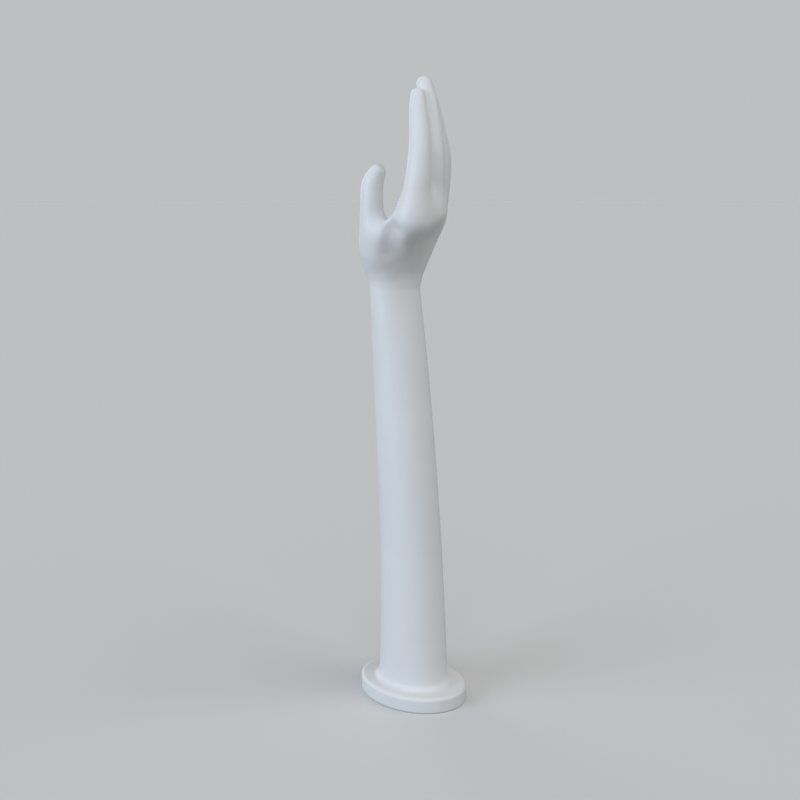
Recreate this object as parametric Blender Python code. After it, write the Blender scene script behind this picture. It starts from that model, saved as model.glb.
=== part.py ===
"""A free-standing display hand: an upright right hand and forearm on an oval foot, moulded in one piece.

Metres, +Z up. The origin is the middle of the foot's underside. +X is the thumb side of the
hand, +Y is the back of the hand and -Y is the palm.

The foot and the forearm are oval rings, bridged one above the other. The hand is the surface
where a distance function is zero: each bone is a tapered rod with round ends, and neighbours
blend into each other. A rough hand of balls and tapered rods is remeshed, its vertices are
moved onto that surface, and its open wrist is bridged to the last ring of the forearm.
"""
import math

import bmesh
import bpy
import numpy as np
from mathutils import Matrix, Vector

# Foot
FOOT_LENGTH = 0.105
FOOT_WIDTH = 0.081
FOOT_THICKNESS = 0.014
FOOT_TOP_ROUNDING = 0.0030
FOOT_BOTTOM_ROUNDING = 0.0015
FOOT_FILLET = 0.0050

# Forearm, from the top of the foot up to the wrist
FOREARM_LENGTH = 0.352
FOREARM_LEAN = 0.0224
# Each section: share of the forearm's length, half its width, half its depth
FOREARM_SECTIONS = [
    (0.00, 0.0276, 0.0334),
    (0.20, 0.0266, 0.0303),
    (0.50, 0.0251, 0.0272),
    (0.80, 0.0241, 0.0238),
    (1.00, 0.0243, 0.0189),
    (1.07, 0.0251, 0.0182),
]
FOREARM_RUNS_INTO_PALM = 0.014
FOREARM_CURVE_STEPS = 12

# Fingers. A root is where the finger's bone starts in the palm, and a knuckle is where the
# finger starts, both from the middle of the wrist. Each stretch of a finger: its length, its
# lean towards the thumb and towards the back of the hand in degrees, and its end's radius.
FOREFINGER_ROOT = (0.0090, -0.0018, 0.0227)
FOREFINGER_ROOT_RADIUS = 0.0100
FOREFINGER_KNUCKLE = (0.0249, 0.0428, 0.0610)
FOREFINGER_KNUCKLE_RADIUS = 0.0121
FOREFINGER_STRETCHES = [
    (0.0207, -1.0, 10.4, 0.0110),
    (0.0223, -8.5, 0.4, 0.0095),
    (0.0242, -12.1, -9.2, 0.0084),
    (0.0192, -11.5, -15.5, 0.0075),
    (0.0139, -13.1, -14.1, 0.0062),
]
MIDDLE_FINGER_ROOT = (0.0007, 0.0030, 0.0154)
MIDDLE_FINGER_ROOT_RADIUS = 0.0115
MIDDLE_FINGER_KNUCKLE = (0.0041, 0.0417, 0.0672)
MIDDLE_FINGER_KNUCKLE_RADIUS = 0.0115
MIDDLE_FINGER_STRETCHES = [
    (0.0218, 0.9, 9.4, 0.0105),
    (0.0229, -4.1, 0.6, 0.0095),
    (0.0246, -7.2, -12.2, 0.0087),
    (0.0199, -6.8, -16.3, 0.0078),
    (0.0145, -5.9, -21.4, 0.0066),
]
RING_FINGER_ROOT = (-0.0052, 0.0040, 0.0139)
RING_FINGER_ROOT_RADIUS = 0.0121
RING_FINGER_KNUCKLE = (-0.0126, 0.0274, 0.0614)
RING_FINGER_KNUCKLE_RADIUS = 0.0108
RING_FINGER_STRETCHES = [
    (0.0225, 0.9, 20.8, 0.0101),
    (0.0222, 1.1, 6.1, 0.0092),
    (0.0229, -2.2, -7.9, 0.0084),
    (0.0177, -2.0, -13.9, 0.0076),
    (0.0119, -3.1, -22.0, 0.0068),
]
LITTLE_FINGER_ROOT = (-0.0098, 0.0000, 0.0153)
LITTLE_FINGER_ROOT_RADIUS = 0.0109
LITTLE_FINGER_KNUCKLE = (-0.0275, 0.0143, 0.0565)
LITTLE_FINGER_KNUCKLE_RADIUS = 0.0093
LITTLE_FINGER_STRETCHES = [
    (0.0188, -0.7, 27.6, 0.0090),
    (0.0194, 5.3, 17.3, 0.0083),
    (0.0172, 2.7, 6.3, 0.0075),
    (0.0130, 2.6, -6.0, 0.0067),
    (0.0083, 0.0, -16.5, 0.0059),
]
# A palm bone ends a little behind its knuckle, and is a little thinner there
PALM_BONE_SET_BACK = 0.0006
KNUCKLE_THINNING = 0.0004

# Thumb, from the middle of the wrist
THUMB_KNUCKLE = (0.0144, -0.0008, 0.0201)
THUMB_KNUCKLE_RADIUS = 0.0118
THUMB_STRETCHES = [
    (0.0151, 29.8, -2.4, 0.0129),
    (0.0189, 15.2, 4.2, 0.0110),
    (0.0196, 3.5, 0.1, 0.0096),
    (0.0166, -3.6, 0.6, 0.0090),
    (0.0107, -10.4, 22.4, 0.0068),
]

# Fleshy pads of the palm, from the middle of the wrist
HEEL_PAD_START = (-0.0145, -0.0041, 0.0182)
HEEL_PAD_END = (-0.0227, 0.0050, 0.0395)
HEEL_PAD_START_RADIUS = 0.0109
HEEL_PAD_END_RADIUS = 0.0105
THUMB_PAD_START = (0.0099, -0.0064, 0.0187)
THUMB_PAD_END = (0.0165, 0.0013, 0.0400)
THUMB_PAD_START_RADIUS = 0.0111
THUMB_PAD_END_RADIUS = 0.0100
WEB_MUSCLE_START = (0.0194, 0.0075, 0.0339)
WEB_MUSCLE_END = (0.0341, 0.0275, 0.0498)
WEB_MUSCLE_START_RADIUS = 0.0088
WEB_MUSCLE_END_RADIUS = 0.0108
WEB_EDGE_START = (0.0272, 0.0089, 0.0476)
WEB_EDGE_END = (0.0248, 0.0264, 0.0525)
WEB_EDGE_START_RADIUS = 0.0054
WEB_EDGE_END_RADIUS = 0.0060
# The hollow beside the thumb, taken away from the form
HOLLOW_START = (0.0427, 0.0302, 0.0484)
HOLLOW_END = (0.0363, 0.0263, 0.0297)
HOLLOW_START_RADIUS = 0.0102
HOLLOW_END_RADIUS = 0.0104

# How wide the hollow is filled where two forms meet
PALM_BLEND = 0.0169
PAD_BLEND = 0.0173
WEB_MUSCLE_BLEND = 0.0068
WEB_EDGE_BLEND = 0.0068
KNUCKLE_BLEND = 0.0145
THUMB_BLEND = 0.0135
WRIST_BLEND = 0.0063
HOLLOW_BLEND = 0.0087
# Between two fingers the fill shrinks from the knuckles to the tips: height above the middle
# of the wrist, fill between forefinger and middle finger, fill between the others
FINGER_BLENDS = [
    (0.064, 0.0098, 0.0036),
    (0.089, 0.0065, 0.0030),
    (0.114, 0.0075, 0.0026),
    (0.139, 0.0052, 0.0024),
    (0.164, 0.0020, 0.0024),
]

# Fineness of the mesh
RING_POINTS = 48
FOREARM_RINGS = 16
ROUNDING_STEPS = 3
FILLET_STEPS = 3
STEPS_PER_STRETCH = 3
ROUGH_BALL_STEPS = 2
ROUGH_ROD_SIDES = 16
ROUGH_VOXEL = 0.0028
FINE_VOXEL = 0.0020
HAND_TRIANGLES = 8400
CUT_BELOW_WRIST = 0.014
STUB_BELOW_CUT = 0.010
SETTLING_STEPS = 4
GRADIENT_STEP = 0.0002
LEAST_STEEPNESS = 0.25

# Finish
PLASTIC_COLOUR = (0.80, 0.80, 0.79, 1.0)
PLASTIC_ROUGHNESS = 0.45
SHARP_ANGLE = math.radians(50)

WRIST_HEIGHT = FOOT_THICKNESS + FOREARM_LENGTH
WRIST = np.array((0.0, -FOREARM_LEAN, WRIST_HEIGHT))
CUT_HEIGHT = WRIST_HEIGHT - CUT_BELOW_WRIST
FINGERS = [
    (FOREFINGER_ROOT, FOREFINGER_ROOT_RADIUS, FOREFINGER_KNUCKLE, FOREFINGER_KNUCKLE_RADIUS,
     FOREFINGER_STRETCHES),
    (MIDDLE_FINGER_ROOT, MIDDLE_FINGER_ROOT_RADIUS, MIDDLE_FINGER_KNUCKLE,
     MIDDLE_FINGER_KNUCKLE_RADIUS, MIDDLE_FINGER_STRETCHES),
    (RING_FINGER_ROOT, RING_FINGER_ROOT_RADIUS, RING_FINGER_KNUCKLE, RING_FINGER_KNUCKLE_RADIUS,
     RING_FINGER_STRETCHES),
    (LITTLE_FINGER_ROOT, LITTLE_FINGER_ROOT_RADIUS, LITTLE_FINGER_KNUCKLE,
     LITTLE_FINGER_KNUCKLE_RADIUS, LITTLE_FINGER_STRETCHES),
]
PADS = [
    (HEEL_PAD_START, HEEL_PAD_END, HEEL_PAD_START_RADIUS, HEEL_PAD_END_RADIUS, PAD_BLEND),
    (THUMB_PAD_START, THUMB_PAD_END, THUMB_PAD_START_RADIUS, THUMB_PAD_END_RADIUS, PAD_BLEND),
    (WEB_MUSCLE_START, WEB_MUSCLE_END, WEB_MUSCLE_START_RADIUS, WEB_MUSCLE_END_RADIUS,
     WEB_MUSCLE_BLEND),
    (WEB_EDGE_START, WEB_EDGE_END, WEB_EDGE_START_RADIUS, WEB_EDGE_END_RADIUS, WEB_EDGE_BLEND),
]
HOLLOW = (HOLLOW_START, HOLLOW_END, HOLLOW_START_RADIUS, HOLLOW_END_RADIUS)


def remove_everything():
    for item in list(bpy.data.objects):
        bpy.data.objects.remove(item, do_unlink=True)


def smooth_through(rows, steps):
    """Points on a Catmull-Rom curve through the rows, with steps of them to each stretch."""
    rows = np.asarray(rows, dtype=float)
    rows = np.vstack((2 * rows[0] - rows[1], rows, 2 * rows[-1] - rows[-2]))
    share = (np.arange(steps) / steps)[:, None]
    points = []
    for before, start, end, after in zip(rows[:-3], rows[1:-2], rows[2:-1], rows[3:]):
        points.append(0.5 * (2 * start + (end - before) * share
                             + (2 * before - 5 * start + 4 * end - after) * share**2
                             + (3 * start - before - 3 * end + after) * share**3))
    points.append(rows[-2:-1])
    return np.vstack(points)


def centreline(knuckle, radius, stretches):
    """Rows of x, y, z and radius along a finger, from its knuckle to the middle of its tip."""
    rows = [np.append(WRIST + knuckle, radius)]
    for length, lean_to_thumb, lean_back, end_radius in stretches:
        way = np.array((math.tan(math.radians(lean_to_thumb)), math.tan(math.radians(lean_back)), 1.0))
        place = rows[-1][:3] + way * length / np.linalg.norm(way)
        rows.append(np.append(place, end_radius))
    return smooth_through(rows, STEPS_PER_STRETCH)


def rods_along(rows):
    """Each pair of neighbouring rows as a tapered rod: start, end and the two radii."""
    return [(a[:3], b[:3], a[3], b[3]) for a, b in zip(rows[:-1], rows[1:])]


def palm_bones():
    """The rod inside the palm that leads to each finger."""
    bones = []
    for root, root_radius, knuckle, knuckle_radius, _ in FINGERS:
        end = WRIST + knuckle + np.array((0.0, PALM_BONE_SET_BACK, 0.0))
        bones.append((WRIST + root, end, root_radius, knuckle_radius - KNUCKLE_THINNING))
    return bones


def from_wrist(start, end, start_radius, end_radius):
    """A tapered rod whose ends are given from the middle of the wrist."""
    return WRIST + start, WRIST + end, start_radius, end_radius


def blended(a, b, width):
    """The smaller of two distances, rounded over where they differ by less than the width."""
    fill = np.maximum(width - np.abs(a - b), 0.0) / width
    return np.minimum(a, b) - fill * fill * width / 4


def carved(a, b, width):
    """The distance to a form with another taken away, and the edge between them rounded."""
    return -blended(-a, b, width)


def distance_to_rod(points, rod):
    """Distance to a tapered rod with round ends, negative inside it."""
    start, end, start_radius, end_radius = rod
    way = np.asarray(end) - start
    along = np.clip((points - start) @ way / (way @ way), 0.0, 1.0)
    gap = np.linalg.norm(points - start - along[:, None] * way, axis=1)
    return gap - (start_radius + (end_radius - start_radius) * along)


def distance_to_rods(points, rods):
    """Distance to the nearest of several rods."""
    return np.min([distance_to_rod(points, rod) for rod in rods], axis=0)


def forearm_section(height):
    """Middle y, half width and half depth of the forearm's oval at each height."""
    share = (np.asarray(height, dtype=float) - FOOT_THICKNESS) / FOREARM_LENGTH
    curve = smooth_through(FOREARM_SECTIONS, FOREARM_CURVE_STEPS)
    half_width = np.interp(share, curve[:, 0], curve[:, 1])
    half_depth = np.interp(share, curve[:, 0], curve[:, 2])
    lean = np.clip(share, 0.0, 1.0) * math.pi / 2
    return -FOREARM_LEAN * (1 - np.cos(lean)), half_width, half_depth


def distance_to_forearm(points):
    """Distance to the forearm's oval, to first order, ended by a soft cap inside the palm."""
    middle, half_width, half_depth = forearm_section(points[:, 2])
    across = points[:, 0] / half_width
    deep = (points[:, 1] - middle) / half_depth
    reach = np.sqrt(across**2 + deep**2) + 1e-9
    slope = np.sqrt((across / half_width)**2 + (deep / half_depth)**2) + 1e-9
    side = reach * (reach - 1) / slope
    above = WRIST_HEIGHT + FOREARM_RUNS_INTO_PALM - points[:, 2]
    return carved(side, above, FOREARM_RUNS_INTO_PALM)


def distance_to_fingers(points):
    """Distance to the four fingers, with a shallow groove between each two."""
    heights, first_fill, other_fill = np.array(FINGER_BLENDS).T
    height = points[:, 2] - WRIST_HEIGHT
    first_fill = np.interp(height, heights, first_fill)
    other_fill = np.interp(height, heights, other_fill)
    lines = [rods_along(centreline(*finger[2:])) for finger in FINGERS]
    nearest = distance_to_rods(points, lines[0])
    for rods, fill in zip(lines[1:], (first_fill, other_fill, other_fill)):
        nearest = blended(nearest, distance_to_rods(points, rods), fill)
    return nearest


def distance_to_palm(points):
    """Distance to the palm: its four bones, its two pads and the flesh beside the thumb."""
    bones = palm_bones()
    nearest = distance_to_rod(points, bones[0])
    for bone in bones[1:]:
        nearest = blended(nearest, distance_to_rod(points, bone), PALM_BLEND)
    for *shape, width in PADS:
        nearest = blended(nearest, distance_to_rod(points, from_wrist(*shape)), width)
    return nearest


def distance_to_hand(points):
    """Distance to the whole hand and its wrist, zero on its surface."""
    thumb = rods_along(centreline(THUMB_KNUCKLE, THUMB_KNUCKLE_RADIUS, THUMB_STRETCHES))
    nearest = blended(distance_to_palm(points), distance_to_fingers(points), KNUCKLE_BLEND)
    nearest = blended(nearest, distance_to_rods(points, thumb), THUMB_BLEND)
    nearest = carved(nearest, distance_to_rod(points, from_wrist(*HOLLOW)), HOLLOW_BLEND)
    return blended(nearest, distance_to_forearm(points), WRIST_BLEND)


def settled(points, steps):
    """The points, moved along the distance's slope until they lie on the hand's surface."""
    for _ in range(steps):
        distance = distance_to_hand(points)
        slope = np.empty_like(points)
        for axis in range(3):
            aside = np.zeros(3)
            aside[axis] = GRADIENT_STEP
            slope[:, axis] = distance_to_hand(points + aside) - distance_to_hand(points - aside)
        slope /= 2 * GRADIENT_STEP
        steepness = np.maximum((slope**2).sum(axis=1), LEAST_STEEPNESS)
        points = points - slope * (distance / steepness)[:, None]
    return points


def add_rough_rod(mesh, rod):
    """A ball at each end of a rod, and a tapered cylinder between them."""
    start, end, start_radius, end_radius = rod
    for place, radius in ((start, start_radius), (end, end_radius)):
        bmesh.ops.create_icosphere(mesh, subdivisions=ROUGH_BALL_STEPS, radius=radius,
                                   matrix=Matrix.Translation(Vector(place)))
    way = Vector(end) - Vector(start)
    turn = way.to_track_quat("Z", "Y").to_matrix().to_4x4()
    middle = Matrix.Translation((Vector(start) + Vector(end)) / 2)
    bmesh.ops.create_cone(mesh, cap_ends=True, segments=ROUGH_ROD_SIDES, radius1=start_radius,
                          radius2=end_radius, depth=way.length, matrix=middle @ turn)


def ring(mesh, height, middle_y, half_width, half_depth):
    """A closed oval of vertices at one height, as a list of its edges."""
    turns = 2 * math.pi * np.arange(RING_POINTS) / RING_POINTS
    around = [mesh.verts.new((half_width * math.cos(t), middle_y + half_depth * math.sin(t), height))
              for t in turns]
    return [mesh.edges.new((a, b)) for a, b in zip(around, around[1:] + around[:1])]


def rough_hand():
    """Balls and tapered rods that overlap, with a stub of forearm below them."""
    mesh = bmesh.new()
    rods = palm_bones() + [from_wrist(*shape) for *shape, _ in PADS]
    for finger in FINGERS:
        rods += rods_along(centreline(*finger[2:]))
    rods += rods_along(centreline(THUMB_KNUCKLE, THUMB_KNUCKLE_RADIUS, THUMB_STRETCHES))
    for rod in rods:
        add_rough_rod(mesh, rod)
    bottom = CUT_HEIGHT - STUB_BELOW_CUT
    low = ring(mesh, bottom, *(float(v) for v in forearm_section(bottom)))
    high = ring(mesh, WRIST_HEIGHT, *(float(v) for v in forearm_section(WRIST_HEIGHT)))
    sides = bmesh.ops.bridge_loops(mesh, edges=low + high)["faces"]
    caps = bmesh.ops.holes_fill(mesh, edges=low + high)["faces"]
    bmesh.ops.recalc_face_normals(mesh, faces=sides + caps)
    rough = bpy.data.meshes.new("rough_hand")
    mesh.to_mesh(rough)
    mesh.free()
    return rough


def applied(mesh, kind, **settings):
    """A new mesh: the given one with one modifier applied."""
    holder = bpy.data.objects.new("holder", mesh)
    bpy.context.collection.objects.link(holder)
    modifier = holder.modifiers.new(kind.title(), kind)
    for name, value in settings.items():
        setattr(modifier, name, value)
    depsgraph = bpy.context.evaluated_depsgraph_get()
    result = bpy.data.meshes.new_from_object(holder.evaluated_get(depsgraph), depsgraph=depsgraph)
    bpy.data.objects.remove(holder, do_unlink=True)
    return result


def settle(mesh):
    """Move a mesh's vertices onto the hand's surface."""
    flat = np.empty(len(mesh.vertices) * 3, dtype=np.float32)
    mesh.vertices.foreach_get("co", flat)
    points = settled(flat.reshape(-1, 3).astype(float), SETTLING_STEPS)
    mesh.vertices.foreach_set("co", points.astype(np.float32).ravel())
    mesh.update()


def hand_mesh():
    """The hand as an even mesh on its surface, with few triangles, still closed at the stub."""
    mesh = applied(rough_hand(), "REMESH", mode="VOXEL", voxel_size=ROUGH_VOXEL)
    settle(mesh)
    mesh = applied(mesh, "REMESH", mode="VOXEL", voxel_size=FINE_VOXEL)
    settle(mesh)
    mesh = applied(mesh, "TRIANGULATE")
    share = HAND_TRIANGLES / len(mesh.polygons)
    mesh = applied(mesh, "DECIMATE", ratio=min(share, 1.0))
    settle(mesh)
    return mesh


def open_edges(mesh):
    return [edge for edge in mesh.edges if edge.is_boundary]


def add_open_hand(mesh):
    """The hand, cut level below the wrist, with the cut left open and set on the forearm's oval."""
    mesh.from_mesh(hand_mesh())
    everything = mesh.verts[:] + mesh.edges[:] + mesh.faces[:]
    bmesh.ops.bisect_plane(mesh, geom=everything, dist=1e-5, plane_co=(0.0, 0.0, CUT_HEIGHT),
                           plane_no=(0.0, 0.0, 1.0), clear_inner=True)
    middle, half_width, half_depth = (float(v) for v in forearm_section(CUT_HEIGHT))
    rim = open_edges(mesh)
    for vertex in {v for edge in rim for v in edge.verts}:
        across = vertex.co.x / half_width
        deep = (vertex.co.y - middle) / half_depth
        reach = math.hypot(across, deep)
        vertex.co = (vertex.co.x / reach, middle + (vertex.co.y - middle) / reach, CUT_HEIGHT)
    return rim


def foot_profile():
    """Foot outline from underside to fillet: height, inset from the foot's edge, outset from the arm.

    A row with an inset follows the foot's oval, and a row with an outset follows the forearm's.
    """
    rows = []
    for step in range(ROUNDING_STEPS + 1):
        turn = math.pi / 2 * step / ROUNDING_STEPS
        rows.append((FOOT_BOTTOM_ROUNDING * (1 - math.cos(turn)),
                     FOOT_BOTTOM_ROUNDING * (1 - math.sin(turn)), None))
    for step in range(ROUNDING_STEPS + 1):
        turn = math.pi / 2 * step / ROUNDING_STEPS
        rows.append((FOOT_THICKNESS - FOOT_TOP_ROUNDING * (1 - math.sin(turn)),
                     FOOT_TOP_ROUNDING * (1 - math.cos(turn)), None))
    for step in range(FILLET_STEPS):
        turn = math.pi / 2 * step / FILLET_STEPS
        rows.append((FOOT_THICKNESS + FOOT_FILLET * (1 - math.cos(turn)), None,
                     FOOT_FILLET * (1 - math.sin(turn))))
    return rows


def add_foot_and_forearm(mesh):
    """Rings of the foot and the forearm, bridged upwards, and the edges of the last one."""
    rings = []
    for height, inset, outset in foot_profile():
        if outset is None:
            rings.append(ring(mesh, height, 0.0, FOOT_WIDTH / 2 - inset, FOOT_LENGTH / 2 - inset))
        else:
            middle, half_width, half_depth = (float(v) for v in forearm_section(height))
            rings.append(ring(mesh, height, middle, half_width + outset, half_depth + outset))
    start = FOOT_THICKNESS + FOOT_FILLET
    rise = (CUT_HEIGHT - start) / FOREARM_RINGS
    for step in range(FOREARM_RINGS):
        height = start + step * rise
        rings.append(ring(mesh, height, *(float(v) for v in forearm_section(height))))
    bmesh.ops.holes_fill(mesh, edges=rings[0])
    for low, high in zip(rings[:-1], rings[1:]):
        bmesh.ops.bridge_loops(mesh, edges=low + high)
    return rings[-1]


def white_plastic():
    """Smooth white moulded plastic with a satin surface."""
    material = bpy.data.materials.new("white_plastic")
    material.use_nodes = True
    shader = material.node_tree.nodes["Principled BSDF"]
    shader.inputs["Base Color"].default_value = PLASTIC_COLOUR
    shader.inputs["Roughness"].default_value = PLASTIC_ROUGHNESS
    shader.inputs["Metallic"].default_value = 0.0
    return material


def build_display_hand():
    """Foot, forearm and hand as one closed moulding."""
    mesh = bmesh.new()
    wrist_rim = add_open_hand(mesh)
    forearm_rim = add_foot_and_forearm(mesh)
    bmesh.ops.bridge_loops(mesh, edges=wrist_rim + forearm_rim)
    bmesh.ops.recalc_face_normals(mesh, faces=mesh.faces[:])
    moulding = bpy.data.meshes.new("display_hand")
    mesh.to_mesh(moulding)
    mesh.free()
    moulding.materials.append(white_plastic())
    moulding.shade_smooth()
    moulding.set_sharp_from_angle(angle=SHARP_ANGLE)
    hand = bpy.data.objects.new("display_hand", moulding)
    bpy.context.collection.objects.link(hand)
    return hand


remove_everything()
build_display_hand()
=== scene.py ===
# %% [markdown]
# # A display hand in white moulded plastic
#
# The object is a shop display hand: a right hand and forearm that stand on an oval foot, all one
# moulding. It has no seams and no separate parts, so its whole look comes from two things. The
# first is a surface with no visible facets, from the broad foot to the shallow grooves between
# the fingers. The second is a satin white plastic whose shine is soft and not quite even.
#
# The script loads the part as a fixed frame, sets the camera, works out the surface, gives it
# its plastic, and puts it on a pale floor in soft light.

# %% Load the part
import math

import bpy
import numpy as np
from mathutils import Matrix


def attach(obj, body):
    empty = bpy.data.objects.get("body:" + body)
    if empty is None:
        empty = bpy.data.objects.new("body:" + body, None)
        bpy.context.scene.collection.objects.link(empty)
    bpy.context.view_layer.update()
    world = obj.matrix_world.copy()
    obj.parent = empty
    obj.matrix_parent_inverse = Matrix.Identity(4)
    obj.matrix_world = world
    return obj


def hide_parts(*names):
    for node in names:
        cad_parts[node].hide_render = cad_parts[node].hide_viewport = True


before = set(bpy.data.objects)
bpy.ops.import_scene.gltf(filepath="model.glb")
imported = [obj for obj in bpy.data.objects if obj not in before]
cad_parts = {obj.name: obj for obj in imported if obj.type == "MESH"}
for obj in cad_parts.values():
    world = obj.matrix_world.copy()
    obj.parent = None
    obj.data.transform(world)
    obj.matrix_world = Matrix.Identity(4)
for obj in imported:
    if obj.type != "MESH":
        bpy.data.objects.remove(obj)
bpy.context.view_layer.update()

# %% [markdown]
# ## The camera
#
# A camera's view is set by where it stands, where it looks and how long its lens is. This one
# stands about a metre away at the height of the hand, on the thumb side and a little behind the
# back of the hand, and looks slightly down. It is built from those plain facts: a compass
# direction, a distance, a height and a tilt.

# %% Camera
LENS = 52.0
SENSOR = 36.0
VIEW_DIRECTION = math.radians(43.0)
VIEW_DISTANCE = 0.976
VIEW_HEIGHT = 0.476
VIEW_TILT_DOWN = math.radians(11.9)
VIEW_SHIFT_LEFT = 0.012


def add_camera():
    """Camera on a circle around the object's axis, moved a little along its own left."""
    towards = np.array((math.cos(VIEW_DIRECTION), math.sin(VIEW_DIRECTION), 0.0))
    right = np.array((-math.sin(VIEW_DIRECTION), math.cos(VIEW_DIRECTION), 0.0))
    data = bpy.data.cameras.new("camera")
    data.lens = LENS
    data.sensor_width = SENSOR
    camera = bpy.data.objects.new("camera", data)
    camera.location = towards * VIEW_DISTANCE - right * VIEW_SHIFT_LEFT + np.array((0, 0, VIEW_HEIGHT))
    camera.rotation_euler = (math.pi / 2 - VIEW_TILT_DOWN, 0.0, VIEW_DIRECTION + math.pi / 2)
    bpy.context.scene.collection.objects.link(camera)
    bpy.context.scene.camera = camera
    return camera


camera = add_camera()
print("camera at", [round(v, 3) for v in camera.location])

# %% [markdown]
# ## The hand as a distance
#
# Fingers that merge into a palm can't be one grid bent into shape, because the surface branches.
# A sculptor would model them by eye, and a remesher could join tubes but leaves lumps where they
# meet. Here the hand is written as a distance instead: a function that says, for any point in
# space, how far it is from the surface, and is zero on it. Distances to simple rods are easy, the
# smaller of two distances joins two forms, and rounding that choice over a few millimetres fills
# the hollow between them as flesh does.
#
# First come the sizes, in metres. Places in the hand are measured from the middle of the wrist.

# %% Sizes of the foot and the forearm
FOOT_HALF_LENGTH = 0.105 / 2
FOOT_HALF_WIDTH = 0.081 / 2
FOOT_THICKNESS = 0.014
FOOT_TOP_ROUNDING = 0.0030
FOOT_BOTTOM_ROUNDING = 0.0015
FOOT_FILLET = 0.0050
FOREARM_LENGTH = 0.352
FOREARM_LEAN = 0.0224
FOREARM_RUNS_INTO_PALM = 0.014
FOREARM_CURVE_STEPS = 12
# Share of the forearm's length, half its width, half its depth
FOREARM_SECTIONS = [
    (0.00, 0.0276, 0.0334),
    (0.20, 0.0266, 0.0303),
    (0.50, 0.0251, 0.0272),
    (0.80, 0.0241, 0.0238),
    (1.00, 0.0243, 0.0189),
    (1.07, 0.0251, 0.0182),
]
WRIST_HEIGHT = FOOT_THICKNESS + FOREARM_LENGTH
WRIST = np.array((0.0, -FOREARM_LEAN, WRIST_HEIGHT))
print("wrist at", WRIST)

# %% Sizes of the fingers
# Each digit: its knuckle and radius there, then its stretches. A stretch is its length, its lean
# towards the thumb and towards the back of the hand in degrees, and the radius at its end.
FINGERS = {
    "forefinger": ((0.0249, 0.0428, 0.0610), 0.0121, [
        (0.0207, -1.0, 10.4, 0.0110),
        (0.0223, -8.5, 0.4, 0.0095),
        (0.0242, -12.1, -9.2, 0.0084),
        (0.0192, -11.5, -15.5, 0.0075),
        (0.0139, -13.1, -14.1, 0.0062)]),
    "middle_finger": ((0.0041, 0.0417, 0.0672), 0.0115, [
        (0.0218, 0.9, 9.4, 0.0105),
        (0.0229, -4.1, 0.6, 0.0095),
        (0.0246, -7.2, -12.2, 0.0087),
        (0.0199, -6.8, -16.3, 0.0078),
        (0.0145, -5.9, -21.4, 0.0066)]),
    "ring_finger": ((-0.0126, 0.0274, 0.0614), 0.0108, [
        (0.0225, 0.9, 20.8, 0.0101),
        (0.0222, 1.1, 6.1, 0.0092),
        (0.0229, -2.2, -7.9, 0.0084),
        (0.0177, -2.0, -13.9, 0.0076),
        (0.0119, -3.1, -22.0, 0.0068)]),
    "little_finger": ((-0.0275, 0.0143, 0.0565), 0.0093, [
        (0.0188, -0.7, 27.6, 0.0090),
        (0.0194, 5.3, 17.3, 0.0083),
        (0.0172, 2.7, 6.3, 0.0075),
        (0.0130, 2.6, -6.0, 0.0067),
        (0.0083, 0.0, -16.5, 0.0059)]),
}
THUMB = ((0.0144, -0.0008, 0.0201), 0.0118, [
    (0.0151, 29.8, -2.4, 0.0129),
    (0.0189, 15.2, 4.2, 0.0110),
    (0.0196, 3.5, 0.1, 0.0096),
    (0.0166, -3.6, 0.6, 0.0090),
    (0.0107, -10.4, 22.4, 0.0068)])
# Where each finger's bone starts in the palm, and its radius there
PALM_ROOTS = {
    "forefinger": ((0.0090, -0.0018, 0.0227), 0.0100),
    "middle_finger": ((0.0007, 0.0030, 0.0154), 0.0115),
    "ring_finger": ((-0.0052, 0.0040, 0.0139), 0.0121),
    "little_finger": ((-0.0098, 0.0000, 0.0153), 0.0109),
}
PALM_BONE_SET_BACK = 0.0006
KNUCKLE_THINNING = 0.0004
# Fleshy pads: start, end, the two radii, and how widely the pad blends into the palm
PADS = {
    "heel": ((-0.0145, -0.0041, 0.0182), (-0.0227, 0.0050, 0.0395), 0.0109, 0.0105, 0.0173),
    "thumb": ((0.0099, -0.0064, 0.0187), (0.0165, 0.0013, 0.0400), 0.0111, 0.0100, 0.0173),
    "web_muscle": ((0.0194, 0.0075, 0.0339), (0.0341, 0.0275, 0.0498), 0.0088, 0.0108, 0.0068),
    "web_edge": ((0.0272, 0.0089, 0.0476), (0.0248, 0.0264, 0.0525), 0.0054, 0.0060, 0.0068),
}
# The hollow beside the thumb is taken away from the form: start, end and the two radii
HOLLOW = ((0.0427, 0.0302, 0.0484), (0.0363, 0.0263, 0.0297), 0.0102, 0.0104)
print("digits:", list(FINGERS) + ["thumb"])

# %% Widths of the blends
PALM_BLEND = 0.0169
KNUCKLE_BLEND = 0.0145
THUMB_BLEND = 0.0135
WRIST_BLEND = 0.0063
HOLLOW_BLEND = 0.0087
# Height above the wrist, then the fill between forefinger and middle finger, and between the rest
FINGER_BLENDS = np.array([
    (0.064, 0.0098, 0.0036),
    (0.089, 0.0065, 0.0030),
    (0.114, 0.0075, 0.0026),
    (0.139, 0.0052, 0.0024),
    (0.164, 0.0020, 0.0024),
])
STEPS_PER_STRETCH = 6
# Keeps the slope of an oval's distance finite on its own axis
TINY = 1e-9

# %% [markdown]
# Each finger follows a smooth curve through its joints. A Catmull-Rom curve passes through every
# point that it is given, so the joints stay where they are set, and the radius is carried along
# as a fourth coordinate.


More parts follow.
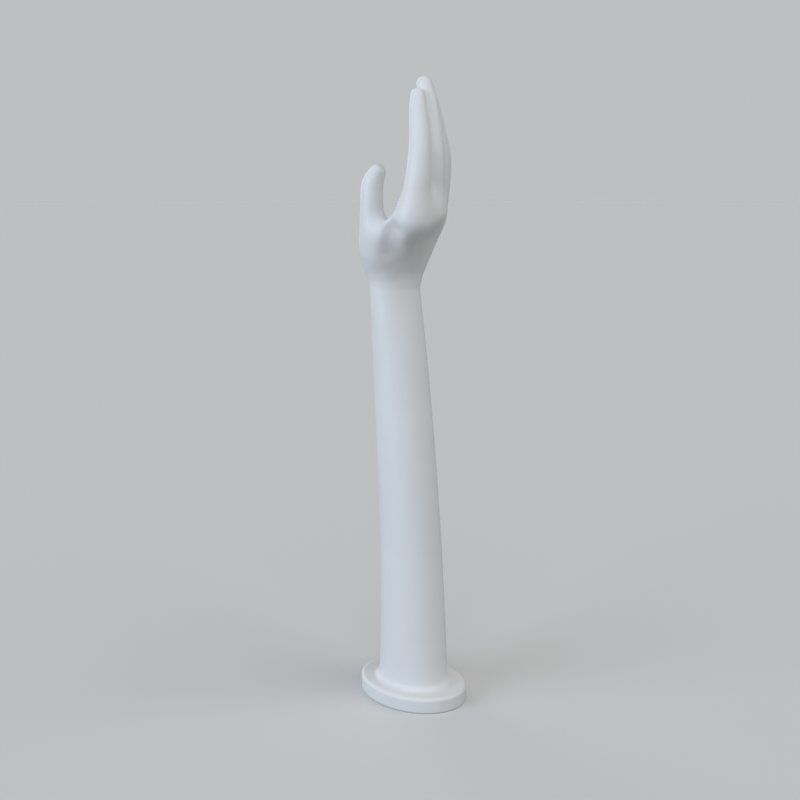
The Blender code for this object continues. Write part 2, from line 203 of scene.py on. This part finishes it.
# %% A finger's centreline
def smooth_through(rows, steps):
    """Catmull-Rom curve: between two rows, a cubic whose slope at each row is half the way
    between that row's neighbours. The first and last rows are mirrored to give them one."""
    rows = np.asarray(rows, dtype=float)
    rows = np.vstack((2 * rows[0] - rows[1], rows, 2 * rows[-1] - rows[-2]))
    before, start, end, after = (rows[i:len(rows) - 3 + i, None] for i in range(4))
    share = (np.arange(steps) / steps)[None, :, None]
    points = 0.5 * (2 * start + (end - before) * share
                    + (2 * before - 5 * start + 4 * end - after) * share**2
                    + (3 * start - before - 3 * end + after) * share**3)
    return np.vstack((points.reshape(-1, rows.shape[1]), rows[-2]))


def centreline(digit):
    """Rows of x, y, z and radius: each joint lies one stretch further along its two leans."""
    knuckle, radius, stretches = digit
    lengths, to_thumb, back, radii = np.array(stretches).T
    to_thumb, back = np.tan(np.radians(to_thumb)), np.tan(np.radians(back))
    way = np.stack((to_thumb, back, np.ones(len(lengths))), axis=1)
    way *= (lengths / np.linalg.norm(way, axis=1))[:, None]
    joints = WRIST + knuckle + np.vstack((np.zeros(3), np.cumsum(way, axis=0)))
    return smooth_through(np.column_stack((joints, np.append(radius, radii))), STEPS_PER_STRETCH)


for name, digit in FINGERS.items():
    line = centreline(digit)
    print(name, "tip at", (line[-1, 2] + line[-1, 3]).round(4))


# %% [markdown]
# The distance to a rod is the distance to its centreline less its radius there, and the radius
# changes evenly from one end to the other. A whole finger is the nearest of its short rods.
#
# The blend is the heart of it. Where two distances differ by more than the blend's width, the
# smaller one counts. Where they are closer, a little is taken off, most where they are equal, so
# the surface bulges out into the corner between the two forms. The same blend turned inside out
# takes a form away and rounds the edge that is left.

# %% Distances
def blended(a, b, width):
    """The smaller of two distances, less a quarter of the width times the squared share by
    which their difference falls short of the width."""
    fill = np.maximum(width - np.abs(a - b), 0.0) / width
    return np.minimum(a, b) - fill * fill * width / 4


def carved(a, b, width):
    """A form with another taken away: a blend of the outside of the first with the second."""
    return -blended(-a, b, width)


def distance_to_rod(points, start, end, start_radius, end_radius):
    """Distance to the nearest point of the centreline, less the radius at that point."""
    way = np.asarray(end) - start
    away = points - start
    along = np.clip(away @ way / (way @ way), 0.0, 1.0)
    gap = np.sqrt(((away - along[:, None] * way)**2).sum(axis=1))
    return gap - (start_radius + (end_radius - start_radius) * along)


def distance_to_digit(points, digit):
    """The nearest of the short rods along a digit's centreline."""
    line = centreline(digit)
    nearest = np.full(len(points), np.inf)
    for a, b in zip(line[:-1], line[1:]):
        np.minimum(nearest, distance_to_rod(points, a[:3], b[:3], a[3], b[3]), out=nearest)
    return nearest


def forearm_section(height):
    """Middle y, half width and half depth of the forearm's oval at each height. Its middle leans
    towards the palm as one minus a cosine, so it leaves the foot upright."""
    share = (np.asarray(height, dtype=float) - FOOT_THICKNESS) / FOREARM_LENGTH
    curve = smooth_through(FOREARM_SECTIONS, FOREARM_CURVE_STEPS)
    lean = np.clip(share, 0.0, 1.0) * math.pi / 2
    return (-FOREARM_LEAN * (1 - np.cos(lean)), np.interp(share, curve[:, 0], curve[:, 1]),
            np.interp(share, curve[:, 0], curve[:, 2]))


def distance_to_forearm(points):
    """First-order distance to an oval: the scaled reach less one, over its slope. All that lies
    above a level inside the palm is carved away."""
    middle, half_width, half_depth = forearm_section(points[:, 2])
    across = points[:, 0] / half_width
    deep = (points[:, 1] - middle) / half_depth
    reach = np.sqrt(across**2 + deep**2) + TINY
    slope = np.sqrt((across / half_width)**2 + (deep / half_depth)**2) + TINY
    above = WRIST_HEIGHT + FOREARM_RUNS_INTO_PALM - points[:, 2]
    return carved(reach * (reach - 1) / slope, above, FOREARM_RUNS_INTO_PALM)


# %% The whole hand
def distance_to_fingers(points):
    """The four fingers, blended less and less towards their tips so the grooves stay open."""
    height = points[:, 2] - WRIST_HEIGHT
    first_fill = np.interp(height, FINGER_BLENDS[:, 0], FINGER_BLENDS[:, 1])
    other_fill = np.interp(height, FINGER_BLENDS[:, 0], FINGER_BLENDS[:, 2])
    digits = list(FINGERS.values())
    nearest = distance_to_digit(points, digits[0])
    for digit, fill in zip(digits[1:], (first_fill, other_fill, other_fill)):
        nearest = blended(nearest, distance_to_digit(points, digit), fill)
    return nearest


def distance_to_palm(points):
    """Four bones from the wrist to the knuckles, then the pads on top of them."""
    nearest = None
    for name, (root, root_radius) in PALM_ROOTS.items():
        knuckle, knuckle_radius, _ = FINGERS[name]
        end = WRIST + knuckle + np.array((0.0, PALM_BONE_SET_BACK, 0.0))
        bone = distance_to_rod(points, WRIST + root, end, root_radius, knuckle_radius - KNUCKLE_THINNING)
        nearest = bone if nearest is None else blended(nearest, bone, PALM_BLEND)
    for start, end, start_radius, end_radius, width in PADS.values():
        pad = distance_to_rod(points, WRIST + start, WRIST + end, start_radius, end_radius)
        nearest = blended(nearest, pad, width)
    return nearest


def distance_to_hand(points):
    """Palm, fingers and thumb blended together, less the hollow, then the wrist."""
    nearest = blended(distance_to_palm(points), distance_to_fingers(points), KNUCKLE_BLEND)
    nearest = blended(nearest, distance_to_digit(points, THUMB), THUMB_BLEND)
    start, end, start_radius, end_radius = HOLLOW
    hollow = distance_to_rod(points, WRIST + start, WRIST + end, start_radius, end_radius)
    nearest = carved(nearest, hollow, HOLLOW_BLEND)
    return blended(nearest, distance_to_forearm(points), WRIST_BLEND)


print("distance at the wrist's middle, mm:", (distance_to_hand(WRIST[None]) * 1000).round(2))

# %% [markdown]
# ## From distance to mesh
#
# A mesh of the zero surface comes from a grid of samples. Every small cell whose corners lie on
# both sides gets one vertex, and every grid edge that crosses the surface gets one quad, between
# the four cells around it. The method is known as surface nets, and it makes mostly even quads.
# The vertices start in the middle of their cells. They then slide along the slope of the distance
# until it is zero, and are evened out along the surface in between, so no trace of the grid stays.

# %% Surface nets
CELL = 0.00115
CUT_BELOW_WRIST = 0.014
CUT_HEIGHT = WRIST_HEIGHT - CUT_BELOW_WRIST
REACH_LOW = np.array((-0.046, -0.046, CUT_HEIGHT - CELL / 2))
REACH_HIGH = np.array((0.048, 0.046, 0.5415))
SETTLING_ROUNDS = 5
SLOPE_STEP = 0.0001
LEAST_STEEPNESS = 0.25


def sampled(low, high, cell):
    """Distances at the corners of a grid of cells, worked out one level at a time."""
    axes = [np.arange(a, b + cell, cell) for a, b in zip(low, high)]
    level = np.stack(np.meshgrid(axes[0], axes[1], indexing="ij"), axis=-1).reshape(-1, 2)
    levels = [distance_to_hand(np.column_stack((level, np.full(len(level), z)))) for z in axes[2]]
    return np.stack(levels, axis=-1).reshape(len(axes[0]), len(axes[1]), len(axes[2]))


def surface_net(values, low, cell):
    """One vertex in each cell whose corners differ in sign, and one quad around each grid edge
    whose ends differ in sign, turned so that its face points out of the surface."""
    inside = values < 0
    shape = tuple(n - 1 for n in inside.shape)
    corners = sum(inside[i:i + shape[0], j:j + shape[1], k:k + shape[2]].astype(np.int8)
                  for i in (0, 1) for j in (0, 1) for k in (0, 1))
    mixed = (corners > 0) & (corners < 8)
    index = np.full(shape, -1)
    index[mixed] = np.arange(mixed.sum())
    points = low + (np.argwhere(mixed) + 0.5) * cell
    quads = []
    for axis in range(3):
        ahead = np.moveaxis(inside, axis, 0)
        cells = np.moveaxis(index, axis, 0)
        crossing = ahead[:-1, 1:-1, 1:-1] != ahead[1:, 1:-1, 1:-1]
        outward = ahead[:-1, 1:-1, 1:-1][crossing]
        around = [cells[:, a:a + crossing.shape[1], b:b + crossing.shape[2]][crossing]
                  for a, b in ((0, 0), (1, 0), (1, 1), (0, 1))]
        quad = np.stack(around, axis=1)
        if axis == 1:
            outward = ~outward
        quads.append(np.where(outward[:, None], quad, quad[:, ::-1]))
    return points, np.vstack(quads)


values = sampled(REACH_LOW, REACH_HIGH, CELL)
points, quads = surface_net(values, REACH_LOW, CELL)
print("grid", values.shape, "gives", len(points), "vertices and", len(quads), "quads")


# %% Settle the vertices on the surface
def settled(points, rounds):
    """Each round moves a point against the slope by its distance over the slope's square, which
    counts as no less than a set least, so that no point jumps where the distance is flat."""
    for _ in range(rounds):
        slope = np.stack([distance_to_hand(points + aside) - distance_to_hand(points - aside)
                          for aside in np.eye(3) * SLOPE_STEP], axis=1) / (2 * SLOPE_STEP)
        steepness = np.maximum((slope**2).sum(axis=1), LEAST_STEEPNESS)
        points = points - slope * (distance_to_hand(points) / steepness)[:, None]
    return points


def neighbour_pairs(quads):
    """Every side of every quad once, as two vertex numbers, and how many quads share it."""
    sides = np.sort(np.stack((quads, np.roll(quads, -1, axis=1)), axis=-1).reshape(-1, 2), axis=1)
    return np.unique(sides, axis=0, return_counts=True)


def evened(points, pairs, held):
    """Moves each point halfway to the mean of its neighbours, apart from those that are held."""
    a, b = pairs.T
    count = np.bincount(a, minlength=len(points)) + np.bincount(b, minlength=len(points))
    total = np.stack([np.bincount(a, points[b, i], len(points))
                      + np.bincount(b, points[a, i], len(points)) for i in range(3)], axis=1)
    moved = 0.5 * points + 0.5 * total / np.maximum(count, 1)[:, None]
    return np.where(held[:, None], points, moved)


pairs, shared = neighbour_pairs(quads)
rim = np.unique(pairs[shared == 1])
on_rim = np.isin(np.arange(len(points)), rim)
points = settled(points, 2)
for _ in range(SETTLING_ROUNDS):
    points = settled(evened(points, pairs, on_rim), 1)
points = settled(points, 1)
print("rim of the wrist:", len(rim), "vertices, left to settle:",
      f"{np.abs(distance_to_hand(points)).max() * 1000:.4f} mm")

# %% [markdown]
# ## The forearm and the foot
#
# Below the wrist nothing branches, so the rest is one grid of two parameters: the turn around the
# axis, and the way down. Each row is an oval with its own height, middle and half sizes. The
# grid's columns start at the open rim of the hand, so hand and forearm share those vertices and
# no seam can show.


# %% Rows of the foot and the forearm
FOREARM_ROWS = 150
ARC_ROWS = 8
FLAT_ROWS = 6
UNDERSIDE_ROWS = 8


def arc(rows):
    """Sine and cosine over a quarter turn, without its first point."""
    turn = np.linspace(0.0, math.pi / 2, rows + 1)[1:]
    return np.sin(turn), np.cos(turn)


def rows_down():
    """Height, middle y, half width and half depth of each oval, from the wrist to the underside.

    The forearm's ovals come from its sections. The fillet is a quarter circle that grows out of
    the last of them, the foot's top runs level between two ovals, and its edge is two quarter
    circles with a straight side between them.
    """
    height = np.linspace(CUT_HEIGHT, FOOT_THICKNESS + FOOT_FILLET, FOREARM_ROWS + 1)[1:]
    rows = [np.column_stack((height, *forearm_section(height)))]
    rise, run = arc(ARC_ROWS)
    height = FOOT_THICKNESS + FOOT_FILLET * (1 - rise)
    middle, half_width, half_depth = forearm_section(height)
    grown = FOOT_FILLET * (1 - run)
    rows.append(np.column_stack((height, middle, half_width + grown, half_depth + grown)))
    edge = np.array((FOOT_THICKNESS, 0.0, FOOT_HALF_WIDTH - FOOT_TOP_ROUNDING,
                     FOOT_HALF_LENGTH - FOOT_TOP_ROUNDING))
    share = (np.arange(1, FLAT_ROWS + 1) / FLAT_ROWS)[:, None]
    rows.append(rows[-1][-1] * (1 - share) + edge * share)
    inset = FOOT_TOP_ROUNDING * (1 - rise)
    rows.append(np.column_stack((FOOT_THICKNESS - FOOT_TOP_ROUNDING * (1 - run), 0 * rise,
                                 FOOT_HALF_WIDTH - inset, FOOT_HALF_LENGTH - inset)))
    inset = FOOT_BOTTOM_ROUNDING * (1 - run)
    edge = np.column_stack((FOOT_BOTTOM_ROUNDING * (1 - rise), 0 * rise,
                            FOOT_HALF_WIDTH - inset, FOOT_HALF_LENGTH - inset))
    side = np.array((FOOT_BOTTOM_ROUNDING, 0.0, FOOT_HALF_WIDTH, FOOT_HALF_LENGTH))
    rows.append(rows[-1][-1] * (1 - share) + side * share)
    rows.append(edge)
    share = (1 - np.arange(1, UNDERSIDE_ROWS) / UNDERSIDE_ROWS)[:, None]
    rows.append(edge[-1] * share)
    return np.vstack(rows)


# %% Join the rows to the hand
def joined_below(points, quads, rim, rows):
    """Hand vertices and faces with the oval rows hung on their rim and a fan in the last row."""
    middle, half_width, half_depth = forearm_section(CUT_HEIGHT)
    angle = np.arctan2((points[rim, 1] - middle) / half_depth, points[rim, 0] / half_width)
    rim = rim[np.argsort(angle)]
    columns = len(rim)
    turn = angle.min() + 2 * math.pi * np.arange(columns) / columns
    points[rim] = np.column_stack((half_width * np.cos(turn), middle + half_depth * np.sin(turn),
                                   np.full(columns, CUT_HEIGHT)))
    height, row_middle, row_width, row_depth = (column[:, None] for column in rows.T)
    ovals = np.stack((row_width * np.cos(turn), row_middle + row_depth * np.sin(turn),
                      height + 0 * turn), axis=-1)
    numbers = len(points) + np.arange(len(rows) * columns).reshape(len(rows), columns)
    numbers = np.vstack((rim, numbers))
    ahead = np.roll(numbers, -1, axis=1)
    sides = np.stack((numbers[:-1], numbers[1:], ahead[1:], ahead[:-1]), axis=-1).reshape(-1, 4)
    centre = len(points) + ovals.shape[0] * columns
    fan = np.column_stack((numbers[-1], np.full(columns, centre), ahead[-1]))
    everything = np.vstack((points, ovals.reshape(-1, 3), (0.0, 0.0, 0.0)))
    return everything, [np.vstack((quads, sides)), fan]


rows = rows_down()
points, faces = joined_below(points, quads, rim, rows)
print(len(rows), "rows of", len(rim), "vertices; the whole surface has", len(points))


# %% Make the mesh
def mesh_of(name, points, face_blocks):
    """A mesh from an array of points and blocks of faces, each block with one number of corners."""
    mesh = bpy.data.meshes.new(name)
    corners = np.concatenate([block.ravel() for block in face_blocks]).astype(np.int32)
    sizes = np.concatenate([np.full(len(block), block.shape[1]) for block in face_blocks])
    starts = np.concatenate(([0], np.cumsum(sizes)[:-1])).astype(np.int32)
    mesh.vertices.add(len(points))
    mesh.vertices.foreach_set("co", points.astype(np.float32).ravel())
    mesh.loops.add(len(corners))
    mesh.loops.foreach_set("vertex_index", corners)
    mesh.polygons.add(len(sizes))
    mesh.polygons.foreach_set("loop_start", starts)
    mesh.polygons.foreach_set("use_smooth", np.ones(len(sizes), dtype=bool))
    mesh.update(calc_edges=True)
    mesh.validate()
    return mesh


def enclosed_volume(points, face_blocks):
    """A sixth of the sum, over each face's triangles, of the product of its three corners."""
    total = 0.0
    for block in face_blocks:
        a = points[block[:, 0]]
        for i in range(1, block.shape[1] - 1):
            total += np.einsum("ij,ij->", a, np.cross(points[block[:, i]], points[block[:, i + 1]]))
    return total / 6


hand = bpy.data.objects.new("moulded_hand", mesh_of("moulded_hand", points, faces))
bpy.context.scene.collection.objects.link(hand)
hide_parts("display_hand")
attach(hand, "root")
print("volume, litres:", round(enclosed_volume(points, faces) * 1000, 4),
      "triangles:", sum(len(block) * (block.shape[1] - 2) for block in faces))

# %% [markdown]
# ## White moulded plastic
#
# Satin white plastic is nearly one colour, and what the eye reads is its shine. A moulded skin is
# never optically flat: it has a very fine orange-peel texture from its mould, and broad, shallow
# waves where it shrank as it cooled. Both bend the highlights a little and keep them soft. The
# colour also drifts very slightly, and handling leaves some patches a touch glossier.
#
# Colour, gloss, waves and peel all want the same thing at other sizes, so it is a node group with
# named inputs: a mottle that turns a position into a value between two limits.


# %% A shared mottle
MOTTLE_DETAIL = 3.0
MOTTLE_ROUGHNESS = 0.45
MOTTLE_EASED_FROM = 0.3
MOTTLE_EASED_TO = 0.7


def mottle_group():
    """Noise on a position, eased between two limits: a low value, a high value and a scale."""
    group = bpy.data.node_groups.new("mottle", "ShaderNodeTree")
    sockets = (("Position", "INPUT", "NodeSocketVector"), ("Scale", "INPUT", "NodeSocketFloat"),
               ("Low", "INPUT", "NodeSocketFloat"), ("High", "INPUT", "NodeSocketFloat"),
               ("Value", "OUTPUT", "NodeSocketFloat"))
    for name, way, kind in sockets:
        group.interface.new_socket(name=name, in_out=way, socket_type=kind)
    nodes, links = group.nodes, group.links
    inputs = nodes.new("NodeGroupInput")
    outputs = nodes.new("NodeGroupOutput")
    noise = nodes.new("ShaderNodeTexNoise")
    noise.inputs["Detail"].default_value = MOTTLE_DETAIL
    noise.inputs["Roughness"].default_value = MOTTLE_ROUGHNESS
    eased = nodes.new("ShaderNodeMapRange")
    eased.interpolation_type = "SMOOTHSTEP"
    eased.inputs["From Min"].default_value = MOTTLE_EASED_FROM
    eased.inputs["From Max"].default_value = MOTTLE_EASED_TO
    links.new(inputs.outputs["Position"], noise.inputs["Vector"])
    links.new(inputs.outputs["Scale"], noise.inputs["Scale"])
    links.new(noise.outputs["Fac"], eased.inputs["Value"])
    links.new(inputs.outputs["Low"], eased.inputs["To Min"])
    links.new(inputs.outputs["High"], eased.inputs["To Max"])
    links.new(eased.outputs["Result"], outputs.inputs["Value"])
    return group


def add_mottle(tree, position, scale, low, high):
    """The group's node in a material, with its own values."""
    node = tree.nodes.new("ShaderNodeGroup")
    node.node_tree = MOTTLE
    tree.links.new(position, node.inputs["Position"])
    for name, value in (("Scale", scale), ("Low", low), ("High", high)):
        node.inputs[name].default_value = value
    return node.outputs["Value"]


MOTTLE = mottle_group()
print("mottle sockets:", [item.name for item in MOTTLE.interface.items_tree])

# %% The plastic
PLASTIC_COLOUR = (0.770, 0.775, 0.780, 1.0)
PLASTIC_DRIFT = (0.805, 0.805, 0.800, 1.0)
DRIFT_SCALE = 9.0
GLOSS_SCALE = 22.0
ROUGHNESS_RANGE = (0.40, 0.50)
PLASTIC_SPECULAR = 0.45
WAVE_SCALE = 45.0
PEEL_SCALE = 900.0
WAVE_HEIGHT = 0.00022
PEEL_HEIGHT = 0.000012


def white_plastic():
    """Satin white: a drifting colour and gloss, broad waves and a fine peel as height."""
    material = bpy.data.materials.new("white_moulded_plastic")
    material.use_nodes = True
    tree = material.node_tree
    nodes, links = tree.nodes, tree.links
    shader = nodes["Principled BSDF"]
    position = nodes.new("ShaderNodeTexCoord").outputs["Object"]
    colour = nodes.new("ShaderNodeMix")
    colour.data_type = "RGBA"
    colour.inputs["A"].default_value = PLASTIC_COLOUR
    colour.inputs["B"].default_value = PLASTIC_DRIFT
    links.new(add_mottle(tree, position, DRIFT_SCALE, 0.0, 1.0), colour.inputs["Factor"])
    links.new(colour.outputs["Result"], shader.inputs["Base Color"])
    links.new(add_mottle(tree, position, GLOSS_SCALE, *ROUGHNESS_RANGE), shader.inputs["Roughness"])
    relief = nodes.new("ShaderNodeMath")
    relief.operation = "ADD"
    links.new(add_mottle(tree, position, WAVE_SCALE, 0.0, WAVE_HEIGHT), relief.inputs[0])
    links.new(add_mottle(tree, position, PEEL_SCALE, 0.0, PEEL_HEIGHT), relief.inputs[1])
    bump = nodes.new("ShaderNodeBump")
    bump.inputs["Distance"].default_value = 1.0
    links.new(relief.outputs["Value"], bump.inputs["Height"])
    links.new(bump.outputs["Normal"], shader.inputs["Normal"])
    shader.inputs["Specular IOR Level"].default_value = PLASTIC_SPECULAR
    return material


hand.data.materials.append(white_plastic())
print("finish:", hand.data.materials[0].name)

# %% [markdown]
# ## Floor and light
#
# A white object shows its form only by its shading, so light from one lamp is too hard and light
# from everywhere is too flat. Photographers put broad soft sources around it. Here each source is
# a sun whose disc is made very wide, which is what a large soft box far away amounts to: it
# lights the fingers and the foot alike, and its shadows have no edge. The strongest is cool and
# stands low on the left, and one behind it keeps that side bright up to its edge. Two weaker ones
# stand higher, in front and on the right, so what faces up is paler than what leans over.
#
# A strength of 1 in the table is the light under which a surface looks exactly as pale as its own
# colour. The floor's brightness then follows from the table, and the sky behind it is given the
# same colour, so that no horizon shows. Part of a low wide sun is below the horizon, where it
# lights no floor, and the sum leaves that part out. A pale floor would throw so much light up that
# the shaded side of the hand went flat, so it is pale for the camera and darker for other rays.

# %% Floor and light values
FLOOR_RADIUS = 12.0
FLOOR_SIDES = 96
FLOOR_SEEN = np.array((0.72, 0.715, 0.71))
FLOOR_REFLECTS = np.array((0.40, 0.40, 0.40))
SKY_LIGHT = np.array((1.0, 1.0, 0.9))
SKY_STRENGTH = 0.23
# Name, degrees round from the camera (left is below zero), degrees up, strength, width and colour
LIGHTS = [
    ("left", -60.0, 12.0, 0.66, 50.0, (0.74, 0.84, 1.00)),
    ("back_left", -150.0, 12.0, 0.24, 50.0, (1.00, 1.00, 1.00)),
    ("front", 0.0, 42.0, 0.22, 50.0, (0.80, 0.88, 1.00)),
    ("right", 70.0, 42.0, 0.29, 50.0, (1.00, 1.00, 1.00)),
]
# A sun's disc is summed over this many rings and spokes
DISC_RINGS = 60
DISC_SPOKES = 90


def share_on_floor(up, width):
    """The mean sine of the height above the horizon over a sun's disc, with nothing counted below
    the horizon, over the mean cosine of the angle from the disc's middle."""
    out = np.radians(width / 2) * (np.arange(DISC_RINGS)[:, None] + 0.5) / DISC_RINGS
    around = 2 * math.pi * np.arange(DISC_SPOKES)[None] / DISC_SPOKES
    height = math.radians(up)
    sine = math.sin(height) * np.cos(out) + math.cos(height) * np.sin(out) * np.cos(around)
    area = np.sin(out) + 0 * around
    return (np.maximum(sine, 0.0) * area).sum() / (np.cos(out) * area).sum()


on_floor = SKY_LIGHT * SKY_STRENGTH
for name, around, up, strength, width, colour in LIGHTS:
    on_floor = on_floor + strength * share_on_floor(up, width) * np.array(colour)
SKY_SEEN = on_floor * FLOOR_SEEN
print("floor and sky look like", SKY_SEEN.round(3))


# %% Floor
def seen_by_camera(tree):
    """One for rays that come straight from the camera, and zero for all others."""
    return tree.nodes.new("ShaderNodeLightPath").outputs["Is Camera Ray"]


def add_floor():
    """A broad matte disc under the foot, in one pale grey that is darker where it reflects."""
    turn = np.linspace(0.0, 2 * math.pi, FLOOR_SIDES, endpoint=False)
    rim = np.column_stack((np.cos(turn), np.sin(turn), 0 * turn)) * FLOOR_RADIUS
    floor = bpy.data.objects.new("floor", mesh_of("floor", rim, [np.arange(len(rim))[None]]))
    bpy.context.scene.collection.objects.link(floor)
    material = bpy.data.materials.new("pale_floor")
    material.use_nodes = True
    tree = material.node_tree
    colour = tree.nodes.new("ShaderNodeMix")
    colour.data_type = "RGBA"
    colour.inputs["A"].default_value = (*FLOOR_REFLECTS, 1.0)
    colour.inputs["B"].default_value = (*FLOOR_SEEN, 1.0)
    tree.links.new(seen_by_camera(tree), colour.inputs["Factor"])
    shader = tree.nodes["Principled BSDF"]
    tree.links.new(colour.outputs["Result"], shader.inputs["Base Color"])
    shader.inputs["Roughness"].default_value = 1.0
    shader.inputs["Specular IOR Level"].default_value = 0.0
    floor.data.materials.append(material)


def set_sky():
    """Pale sky: one colour lights the object, another is what the camera sees behind it."""
    world = bpy.data.worlds.new("sky")
    bpy.context.scene.world = world
    world.use_nodes = True
    nodes, links = world.node_tree.nodes, world.node_tree.links
    light = nodes["Background"]
    light.inputs["Color"].default_value = (*SKY_LIGHT, 1.0)
    light.inputs["Strength"].default_value = SKY_STRENGTH
    seen = nodes.new("ShaderNodeBackground")
    seen.inputs["Color"].default_value = (*SKY_SEEN, 1.0)
    mix = nodes.new("ShaderNodeMixShader")
    links.new(seen_by_camera(world.node_tree), mix.inputs["Fac"])
    links.new(light.outputs["Background"], mix.inputs[1])
    links.new(seen.outputs["Background"], mix.inputs[2])
    links.new(mix.outputs["Shader"], nodes["World Output"].inputs["Surface"])


add_floor()
set_sky()
print("floor and sky are in place")


# %% Lights
def add_light(name, around, up, strength, width, colour):
    """A wide sun that shines down from its place on the sky. A strength of 1 is pi watts for each
    square metre."""
    data = bpy.data.lights.new(name, "SUN")
    data.energy = math.pi * strength
    data.angle = math.radians(width)
    data.color = colour
    light = bpy.data.objects.new(name, data)
    direction = VIEW_DIRECTION + math.radians(around)
    light.rotation_euler = (math.radians(90.0 - up), 0.0, direction + math.pi / 2)
    bpy.context.scene.collection.objects.link(light)


for light in LIGHTS:
    add_light(*light)
bpy.context.scene.view_settings.view_transform = "Standard"
print("lights:", [light[0] for light in LIGHTS])

# %% The end
bpy.context.view_layer.update()
